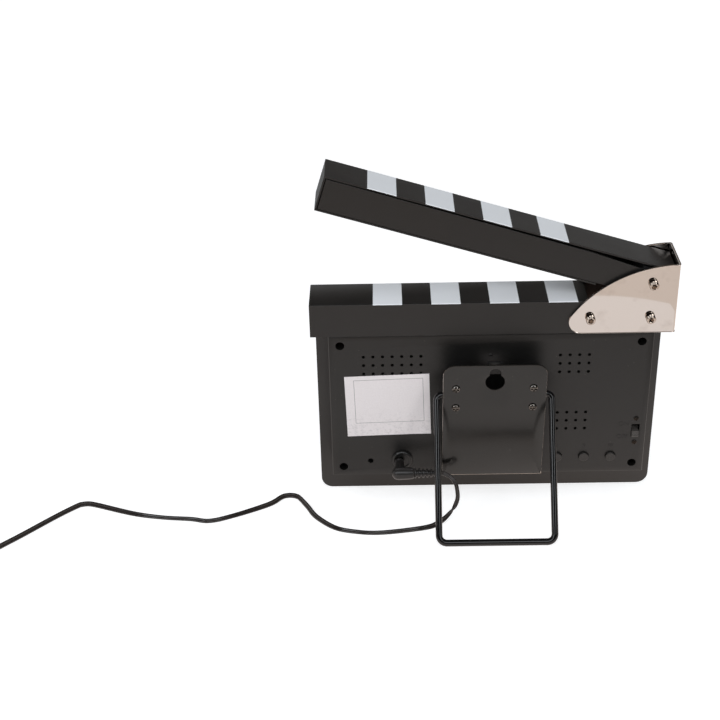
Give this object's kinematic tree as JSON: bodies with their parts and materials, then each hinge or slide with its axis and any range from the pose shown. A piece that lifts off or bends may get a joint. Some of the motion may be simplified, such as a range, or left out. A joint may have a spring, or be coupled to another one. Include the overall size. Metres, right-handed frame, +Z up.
{
  "type": "alarm clock",
  "caption": "Film-slate alarm clock with a hinged clapper, a box on its back, a keyhole plate, a wire stand and a mains lead.",
  "frame": {"origin": "middle of the clock's footprint on the ground, without its lead", "axes": "+Z up, the display faces -Y, +X is to the left for someone who looks at the back"},
  "size_m": [0.4689, 0.1254, 0.2172],
  "materials": {
    "slate_black": "satin black",
    "dark_pane": "dark gloss",
    "circuit_green": "matt",
    "numeral_red": "matt",
    "case_black": "fine satin black",
    "screw_zinc": "zinc",
    "hidden_black": "matt",
    "jack_black": "satin black",
    "button_black": "satin black",
    "switch_steel": "plain",
    "switch_black": "satin",
    "black_screw": "black",
    "label_paper": "matt paper",
    "stick_black": "satin black with white stripes",
    "back_black": "satin black",
    "block_brown": "bare",
    "bright_steel": "polished",
    "magnet_steel": "bright",
    "plate_black": "satin black",
    "wire_black": "gloss black",
    "cord_black": "satin black",
    "pin_brass": "bright"
  },
  "bodies": {
    "case": {"slate_board": "slate_black", "display_window": "dark_pane", "display_board": "circuit_green", "button_board": "circuit_green", "digit_1": "numeral_red", "digit_2": "numeral_red", "digit_3": "numeral_red", "digit_4": "numeral_red", "colon_lamps": "numeral_red", "rear_cover": "case_black", "cover_screw_1": "screw_zinc", "cover_screw_2": "screw_zinc", "cover_screw_3": "screw_zinc", "cover_screw_4": "screw_zinc", "buzzer": "hidden_black", "side_socket": "hidden_black", "closing_sensor": "hidden_black", "stand_clamp_1": "hidden_black", "stand_clamp_2": "hidden_black", "dc_jack": "jack_black", "switch_frame": "switch_steel", "switch_screw_1": "black_screw", "switch_screw_2": "black_screw", "plate_screw_1": "black_screw", "plate_screw_2": "black_screw", "plate_screw_3": "black_screw", "plate_screw_4": "black_screw", "rating_label": "label_paper", "lower_stick": "stick_black", "hinge_block": "block_brown", "hinge_bracket": "bright_steel", "bracket_screw_1": "bright_steel", "bracket_screw_2": "bright_steel", "bracket_screw_3": "bright_steel", "bracket_screw_4": "bright_steel", "pivot_bolt": "bright_steel", "pivot_nut": "bright_steel", "pivot_washer_1": "bright_steel", "pivot_washer_2": "bright_steel", "mount_plate": "plate_black", "dc_plug": "cord_black", "plug_relief": "cord_black", "lead_free": "cord_black", "lead_coil": "cord_black", "lead_tie": "cord_black", "mains_adapter": "cord_black", "adapter_pin_1": "pin_brass", "adapter_pin_2": "pin_brass"},
    "clapper": {"clapper_shell": "stick_black", "clapper_back": "back_black", "pivot_block": "hidden_black", "closing_magnet": "magnet_steel"},
    "stand": {"stand_wire": "wire_black"},
    "set_button": {"set_button": "button_black"},
    "up_button": {"up_button": "button_black"},
    "out_button": {"out_button": "button_black"},
    "switch_knob": {"switch_knob": "switch_black"}
  },
  "joints": [
    {"name": "clapper_hinge", "type": "hinge", "parent": "case", "child": "clapper", "pos_m": [-0.0902, -0.00801, 0.14801], "axis": [0, -0.9888, 0.1495], "range_deg": [-17.2, 1.2]},
    {"name": "stand_hinge", "type": "hinge", "parent": "case", "child": "stand", "pos_m": [-0.00135, 0.00565, 0.07966], "axis": [1, 0, 0], "range_deg": [-13, 60]},
    {"name": "set_button_press", "type": "slide", "parent": "case", "child": "set_button", "axis": [0, -0.9888, 0.1495], "range_m": [0, 0.0007], "stiffness_N_per_m": 400, "springref_m": -0.0005},
    {"name": "up_button_press", "type": "slide", "parent": "case", "child": "up_button", "axis": [0, -0.9888, 0.1495], "range_m": [0, 0.0007], "stiffness_N_per_m": 400, "springref_m": -0.0005},
    {"name": "out_button_press", "type": "slide", "parent": "case", "child": "out_button", "axis": [0, -0.9888, 0.1495], "range_m": [0, 0.0007], "stiffness_N_per_m": 400, "springref_m": -0.0005},
    {"name": "switch_slide", "type": "slide", "parent": "case", "child": "switch_knob", "axis": [0, 0.1495, 0.9888], "range_m": [0, 0.0041]}
  ]
}
